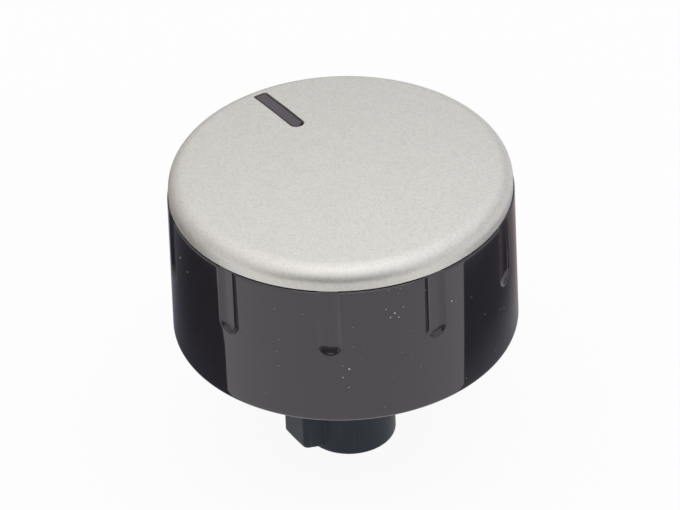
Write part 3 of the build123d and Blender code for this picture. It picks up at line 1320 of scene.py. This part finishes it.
@dataclass
class Studio:
    """Pale floor, soft sky, darker cards round the knob and the camera."""

    knob: KnobSizes
    view_azimuth: float = -120.45
    view_elevation: float = 37.05
    roll: float = 2.38
    distance: float = 650.0
    focal_pixels: float = 5344.9
    picture_width: float = 680.0
    sensor: float = 36.0
    aim: Point = (-0.422, 4.414, 5.845)
    horizon: float = 0.44
    zenith: float = 1.20
    front_share: float = 0.33
    warm: Colour = (1.0, 0.985, 0.965)
    cool: Colour = (0.965, 0.99, 1.0)
    side_share: float = 0.05
    floor_half: float = 2500.0
    floor_colour: Colour = (0.80, 0.80, 0.80)
    floor_glow: float = 0.92
    lamp_place: Point = (60.0, -420.0, 820.0)
    lamp_aim: Point = (0.0, 0.0, 25.0)
    lamp_size: Span = (900.0, 500.0)
    lamp_power: float = 0.4
    white_reach: Span = (24.0, 32.0)
    near_reach: Span = (36.0, 50.0)
    far_reach: Span = (60.0, 85.0)
    back_slope: Span = (0.1, 1.6)
    cards: tuple[Card, ...] = (
        Card(
            "left_card",
            (
                (-420.0, -11.3, 0.4),
                (-62.0, -11.5, 0.4),
                (-48.0, -16.0, 0.4),
                (0.0, -16.5, 0.4),
                (0.0, 420.0, 0.4),
                (-420.0, 420.0, 0.4),
            ),
            tone=(0.034, 0.036, 0.044),
            near_tone=(0.075, 0.078, 0.100),
            back_tone=(0.28, 0.27, 0.34),
            far_tone=(0.31, 0.29, 0.265),
        ),
        Card(
            "right_card",
            ((0.0, 420.0, 0.4), (0.0, -19.0, 0.4), (420.0, -19.5, 0.4), (420.0, 420.0, 0.4)),
            tone=(0.062, 0.070, 0.085),
            near_tone=(0.28, 0.29, 0.32),
            back_tone=(0.46, 0.38, 0.37),
            far_tone=(0.78, 0.80, 0.84),
        ),
        Card(
            "front_card",
            ((-300.0, -500.0, 0.4), (300.0, -500.0, 0.4), (300.0, -85.0, 0.4), (-300.0, -85.0, 0.4)),
            tone=(0.30, 0.28, 0.25),
        ),
        Card(
            "hung_card",
            ((22.0, -51.0, 25.0), (-38.0, -51.0, 25.0), (-38.0, -51.0, 45.0), (22.0, -51.0, 45.0)),
            tone=(0.10, 0.10, 0.10),
        ),
    )

    @property
    def view_turn(self) -> float:
        """Angle from +X to the camera's right."""
        return math.radians(self.view_azimuth + 90.0)

    def sides(self, graph: Graph, place: bpy.types.NodeSocket) -> tuple[Signal, Signal, Signal]:
        """Parts of a vector as the camera sees it: x cos t + y sin t, y cos t - x sin t, and z.

        Args:
            graph: The node tree.
            place: The vector.

        Returns:
            Its parts to the right, back and up.
        """
        cos, sin = math.cos(self.view_turn), math.sin(self.view_turn)
        x, y, up = graph.axes(place)
        return x * cos + y * sin, y * cos - x * sin, up

    def placed(self, right: float, back: float, up: float) -> Vector:
        """Point given to the right of, behind and above the origin as the camera sees it, in metres."""
        cos, sin = math.cos(self.view_turn), math.sin(self.view_turn)
        return Vector((right * cos - back * sin, right * sin + back * cos, up)) * MILLIMETRE

    def add_camera(self) -> None:
        """Makes the camera at the photograph's viewing angle, turned slightly about its line of sight."""
        slope = math.radians(self.view_elevation)
        rim_z = self.knob.rim_z
        eye = self.placed(0.0, -self.distance * math.cos(slope), rim_z + self.distance * math.sin(slope))
        aim = self.placed(self.aim[0], self.aim[1], rim_z + self.aim[2])
        forward = (aim - eye).normalized()
        level = forward.cross(Vector((0.0, 0.0, 1.0))).normalized()
        upright = level.cross(forward)
        turn = math.radians(self.roll)
        right = level * math.cos(turn) - upright * math.sin(turn)
        up = level * math.sin(turn) + upright * math.cos(turn)
        data = bpy.data.cameras.new("photo_camera")
        data.sensor_width = self.sensor
        data.lens = self.focal_pixels * self.sensor / self.picture_width
        data.clip_start, data.clip_end = 0.01, 20.0
        camera = bpy.data.objects.new("photo_camera", data)
        rotation = Matrix((right, up, -forward)).transposed()
        camera.matrix_world = Matrix.Translation(eye) @ rotation.to_4x4()
        bpy.context.scene.collection.objects.link(camera)
        bpy.context.scene.camera = camera

    def add_sky(self) -> None:
        """Soft sky, dim at the horizon and bright overhead, which the camera sees as plain white."""
        world = bpy.data.worlds.new("soft_sky")
        bpy.context.scene.world = world
        world.use_nodes = True
        graph = Graph(world.node_tree)
        right, back, up = self.sides(graph, graph.node("ShaderNodeTexCoord").outputs["Generated"])
        light = self.horizon + up.clamped() * (self.zenith - self.horizon)
        light = light * (1.0 + right * self.side_share) + (0.0 - back).clamped() * self.front_share
        seen = Signal(graph, graph.node("ShaderNodeLightPath").outputs["Is Camera Ray"])
        colour = graph.mixed(seen, graph.mixed(right.rises(-1.0, 1.0), self.warm, self.cool), WHITE)
        inputs = {"Color": colour, "Strength": light + seen * (1.0 - light)}
        graph.finished(graph.node("ShaderNodeBackground", inputs), "ShaderNodeOutputWorld")

    def add_sheet(self, name: str, corners: Corners, material: bpy.types.Material) -> bpy.types.Object:
        """Adds a flat sheet of the stage.

        Args:
            name: Its name.
            corners: Places to the right of, behind and above the origin, in order round the sheet.
            material: Its finish.

        Returns:
            The object.
        """
        mesh = bpy.data.meshes.new(name)
        mesh.from_pydata([self.placed(*corner) for corner in corners], [], [list(range(len(corners)))])
        mesh.materials.append(material)
        made = bpy.data.objects.new(name, mesh)
        bpy.context.scene.collection.objects.link(made)
        return made

    def add_floor(self) -> None:
        """White floor that keeps a soft shadow, shows white in reflections and is clear from below."""
        made, graph = new_material("white_floor")
        path = graph.node("ShaderNodeLightPath").outputs
        seen, reflected = Signal(graph, path["Is Camera Ray"]), Signal(graph, path["Is Glossy Ray"])
        matte = graph.node("ShaderNodeBsdfDiffuse", {"Color": (*self.floor_colour, 1.0)})
        glow = graph.node("ShaderNodeEmission", {"Color": (*WHITE, 1.0), "Strength": 1.0})
        share = (seen * self.floor_glow + reflected).clamped()
        lit = graph.node("ShaderNodeMixShader", {0: share, 1: matte.outputs[0], 2: glow.outputs[0]})
        clear = graph.node("ShaderNodeBsdfTransparent")
        from_below = graph.node("ShaderNodeNewGeometry").outputs["Backfacing"]
        sides = {0: from_below, 1: lit.outputs[0], 2: clear.outputs[0]}
        graph.finished(graph.node("ShaderNodeMixShader", sides))
        half = self.floor_half
        corners = ((-half, -half, 0.0), (half, -half, 0.0), (half, half, 0.0), (-half, half, 0.0))
        self.add_sheet("floor", corners, made)

    def add_card(self, card: Card) -> None:
        """Adds a sheet that shows only in the knob's reflections.

        Args:
            card: Its corners and tones.
        """
        made, graph = new_material(card.name)
        right, back, _ = self.sides(graph, graph.position())
        reach = (right * right + back * back) ** 0.5
        slope = back / (right * right) ** 0.5
        tone = graph.mixed(reach.rises_over(self.near_reach), card.near_tone or card.tone, card.tone)
        tone = graph.mixed(slope.rises(*self.back_slope), tone, card.back_tone or card.tone)
        tone = graph.mixed(reach.rises_over(self.far_reach), tone, card.far_tone or card.tone)
        tone = graph.mixed(reach.rises_over(self.white_reach), WHITE, tone)
        graph.finished(graph.node("ShaderNodeEmission", {"Color": tone}))
        sheet = self.add_sheet(card.name, card.corners, made)
        sheet.visible_camera = False
        sheet.visible_diffuse = False
        sheet.visible_shadow = False

    def add_lamp(self) -> None:
        """One broad soft lamp above and in front."""
        data = bpy.data.lights.new("softbox", "AREA")
        data.shape = "RECTANGLE"
        data.size, data.size_y = (side * MILLIMETRE for side in self.lamp_size)
        data.energy = self.lamp_power
        data.color = self.warm
        lamp = bpy.data.objects.new("softbox", data)
        place, aim = self.placed(*self.lamp_place), self.placed(*self.lamp_aim)
        lamp.location = place
        lamp.rotation_euler = (aim - place).to_track_quat("-Z", "Y").to_euler()
        bpy.context.scene.collection.objects.link(lamp)

    def build(self) -> None:
        """Sets up everything round the knob."""
        self.add_camera()
        self.add_sky()
        self.add_floor()
        for card in self.cards:
            self.add_card(card)
        self.add_lamp()
        bpy.context.scene.view_settings.view_transform = "Standard"
        LOG.info("studio is set with %d cards", len(self.cards))


def main() -> None:
    """Builds the pieces and the studio in order."""
    logging.basicConfig(level=logging.INFO, format="%(message)s")
    knob = KnobSizes()
    SkirtMoulding(knob).build("grooved_skirt", "knob_body", Slot.GLOSS, GlossBlack().material())
    CrownedCap(knob).build("satin_cap", "top_cap", Slot.SATIN, SatinSilver().material())
    KeyedStem(knob).build("keyed_stem", "shaft_stem", Slot.MATTE, MatteBlack().material())
    LeafSpring().build("leaf_spring", "spindle_spring", Slot.STEEL, SpringSteel().material())
    Studio(knob).build()


if __name__ == "__main__":
    main()
